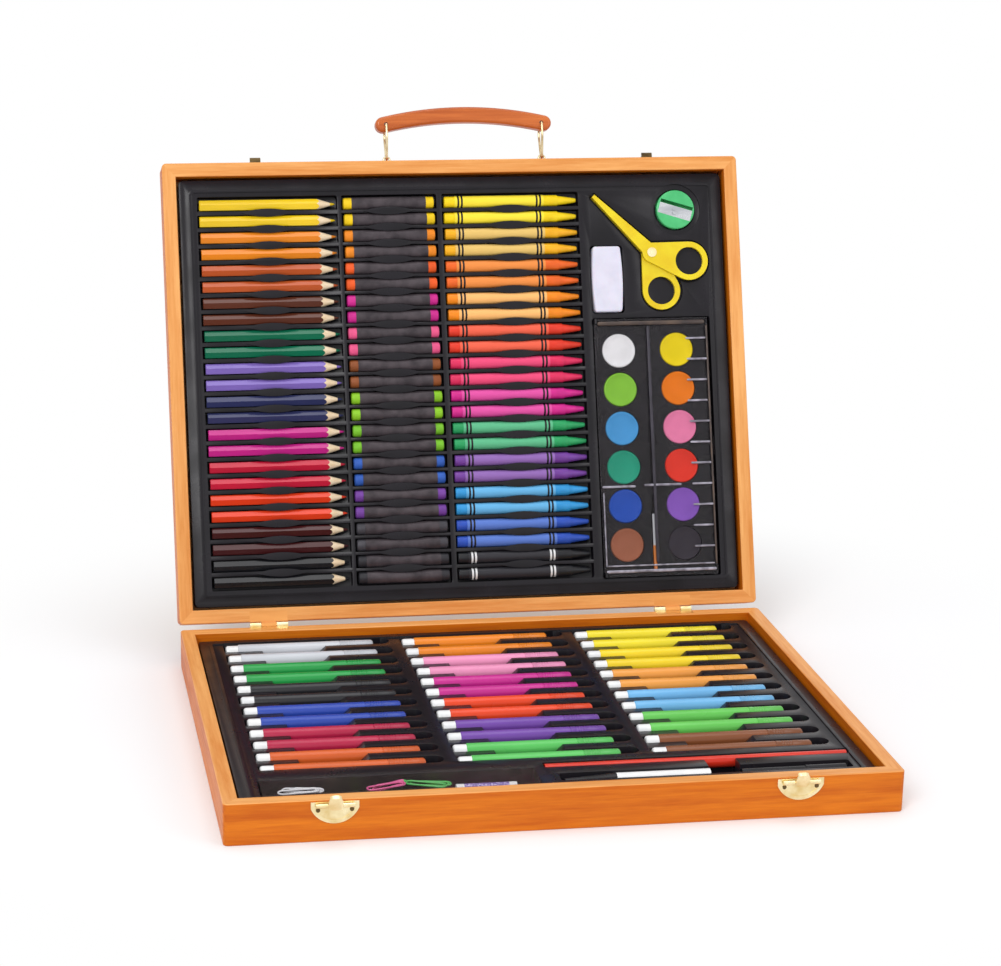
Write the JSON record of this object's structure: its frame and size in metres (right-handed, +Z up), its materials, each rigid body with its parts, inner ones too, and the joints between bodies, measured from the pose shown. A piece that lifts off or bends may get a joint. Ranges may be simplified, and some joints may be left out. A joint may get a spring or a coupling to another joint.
{
  "type": "wooden art set case",
  "caption": "Hinged wooden case standing open, with brass latches, a wire-hung carrying handle and black trays of pencils, pastels, crayons, paints and markers.",
  "frame": {"origin": "centre of the base's underside", "axes": "+X to the right along the case's length, +Y from the front to the hinges, +Z up"},
  "size_m": [0.39, 0.4418, 0.3461],
  "materials": {
    "orange_wood": "clear lacquer over orange stain",
    "lid_wood": "clear lacquer over orange stain",
    "panel": "plywood",
    "tray": "black moulded sheet",
    "brass": "plated",
    "steel": "plain",
    "grip": "clear lacquer over orange stain",
    "pencil_paint": "painted, one colour to each pencil",
    "bare_wood": "bare",
    "lead": "coloured lead",
    "pastel": "oil pastel",
    "wrapper": "printed paper",
    "crayon": "wax",
    "marker": "moulded",
    "white_plastic": "moulded",
    "clear_plastic": "clear",
    "clips": "plastic-coated wire",
    "glitter": "filled tube",
    "red_paint": "painted",
    "black_plastic": "moulded",
    "yellow_plastic": "translucent",
    "green_plastic": "moulded",
    "eraser": "soft",
    "paint": "dry paint cakes",
    "bristles": "metal and hair"
  },
  "bodies": {
    "base": {"base_front_wall": "orange_wood", "base_back_wall": "orange_wood", "base_left_wall": "orange_wood", "base_right_wall": "orange_wood", "base_panel": "panel", "base_tray": "tray", "hinge_base_leaves": "brass", "hinge_pins": "brass", "hinge_base_screws": "brass", "latch_plates": "brass", "latch_pins": "brass", "latch_nails": "brass", "marker_barrels_left": "marker", "marker_barrels_middle": "marker", "marker_barrels_right": "marker", "marker_plugs": "white_plastic", "marker_caps": "marker", "clip_box": "clear_plastic", "paper_clips": "clips", "glitter_tube": "glitter", "glitter_tube_ends": "white_plastic", "long_pencil": "red_paint", "long_pencil_lead": "lead", "glue_pen_barrel": "white_plastic", "fine_pen_barrel": "black_plastic", "pen_caps": "black_plastic"},
    "lid": {"lid_front_wall": "lid_wood", "lid_back_wall": "lid_wood", "lid_left_wall": "lid_wood", "lid_right_wall": "lid_wood", "lid_panel": "panel", "lid_tray": "tray", "hinge_lid_leaves": "brass", "hinge_lid_screws": "brass", "latch_keepers": "brass", "keeper_nails": "brass", "handle_staples": "brass", "pencil_bodies": "pencil_paint", "pencil_wood": "bare_wood", "pencil_leads": "lead", "pastel_sticks": "pastel", "pastel_wrappers": "wrapper", "crayon_sticks": "crayon", "crayon_wrappers": "wrapper"},
    "latch_left": {"latch_tongue_left": "brass"},
    "latch_right": {"latch_tongue_right": "brass"},
    "handle": {"handle_grip": "grip", "handle_links": "brass"},
    "paint_box": {"paint_box": "black_plastic", "paint_pans": "paint", "paint_brush": "bristles"},
    "paint_box_cover": {"paint_box_cover": "clear_plastic"},
    "scissors": {"scissors_lower_half": "yellow_plastic", "scissors_rivet": "steel"},
    "scissors_blade": {"scissors_upper_half": "yellow_plastic"},
    "sharpener": {"sharpener_body": "green_plastic", "sharpener_blade": "steel", "sharpener_screw": "steel"},
    "eraser": {"eraser": "eraser"},
    "clip_box_cover": {"clip_box_cover": "clear_plastic"}
  },
  "joints": [
    {"name": "lid_hinge", "type": "hinge", "parent": "base", "child": "lid", "pos_m": [0, 0.1544, 0.0252], "axis": [1, 0, 0], "range_deg": [0, 109.5]},
    {"name": "latch_left_swing", "type": "hinge", "parent": "base", "child": "latch_left", "pos_m": [-0.133, -0.1549, 0.0224], "axis": [1, 0, 0], "range_deg": [-22, 38]},
    {"name": "latch_right_swing", "type": "hinge", "parent": "base", "child": "latch_right", "pos_m": [0.133, -0.1549, 0.0224], "axis": [1, 0, 0], "range_deg": [-22, 38]},
    {"name": "handle_swing", "type": "hinge", "parent": "lid", "child": "handle", "pos_m": [0.0095, 0.26864, 0.31425], "axis": [1, 0, 0], "range_deg": [-78, 78]},
    {"name": "paint_box_lift", "type": "slide", "parent": "lid", "child": "paint_box", "axis": [0, 0.9426, -0.3338], "range_m": [-0.06, 0]},
    {"name": "paint_box_cover_hinge", "type": "hinge", "parent": "paint_box", "child": "paint_box_cover", "pos_m": [0.0932, 0.19458, 0.12788], "axis": [0, 0.3338, 0.9426], "range_deg": [-120, 0]},
    {"name": "scissors_lift", "type": "slide", "parent": "lid", "child": "scissors", "axis": [0, 0.9426, -0.3338], "range_m": [-0.04, 0]},
    {"name": "scissors_pivot", "type": "hinge", "parent": "scissors", "child": "scissors_blade", "pos_m": [0.134, 0.24008, 0.25158], "axis": [0, -0.9426, 0.3338], "range_deg": [-1, 40]},
    {"name": "sharpener_lift", "type": "slide", "parent": "lid", "child": "sharpener", "axis": [0, 0.9426, -0.3338], "range_m": [-0.03, 0]},
    {"name": "eraser_lift", "type": "slide", "parent": "lid", "child": "eraser", "axis": [0, 0.9426, -0.3338], "range_m": [-0.03, 0]},
    {"name": "clip_box_cover_hinge", "type": "hinge", "parent": "base", "child": "clip_box_cover", "pos_m": [-0.09175, -0.1092, 0.0212], "axis": [1, 0, 0], "range_deg": [-110, 0]}
  ],
  "couplings": [
    {"joint": "scissors_pivot", "follows": "scissors_lift", "rad_per_m": -16.581}
  ]
}
